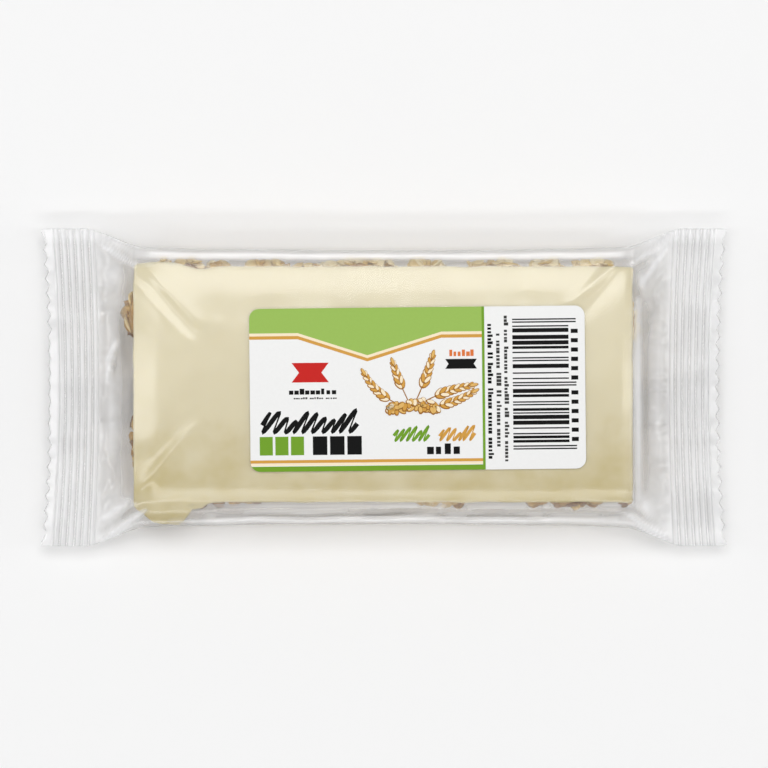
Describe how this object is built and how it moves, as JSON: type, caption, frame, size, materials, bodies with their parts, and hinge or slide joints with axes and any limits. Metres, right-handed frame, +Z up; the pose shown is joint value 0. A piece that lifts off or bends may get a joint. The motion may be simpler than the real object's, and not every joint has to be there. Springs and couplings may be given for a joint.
{
  "type": "granola bar",
  "caption": "Oat granola bar with a pale yogurt coating, in a clear flow-wrap pouch with crimped, saw-cut ends and a green and gold paper label on top.",
  "frame": {"origin": "on the ground under the middle of the pouch", "axes": "+X along the bar, towards the right-hand end as the label is read; +Y across it, towards the label's top edge; +Z up, out of the label"},
  "size_m": [0.1482, 0.0688, 0.0153],
  "materials": {
    "film": "clear glossy polypropylene film, tight and lightly creased, with cross ribs pressed into the ends",
    "label": "semi-gloss white paper sticker printed with green and gold fields",
    "oats": "baked oats and syrup: rough golden-brown flakes with a dull shine, stood in for by a matt plastic",
    "coating": "smooth set yogurt-type coating, cream coloured, with a soft satin shine, stood in for by a matt plastic"
  },
  "bodies": {
    "root": {"wrapper": "film", "label": "label"}
  },
  "joints": []
}
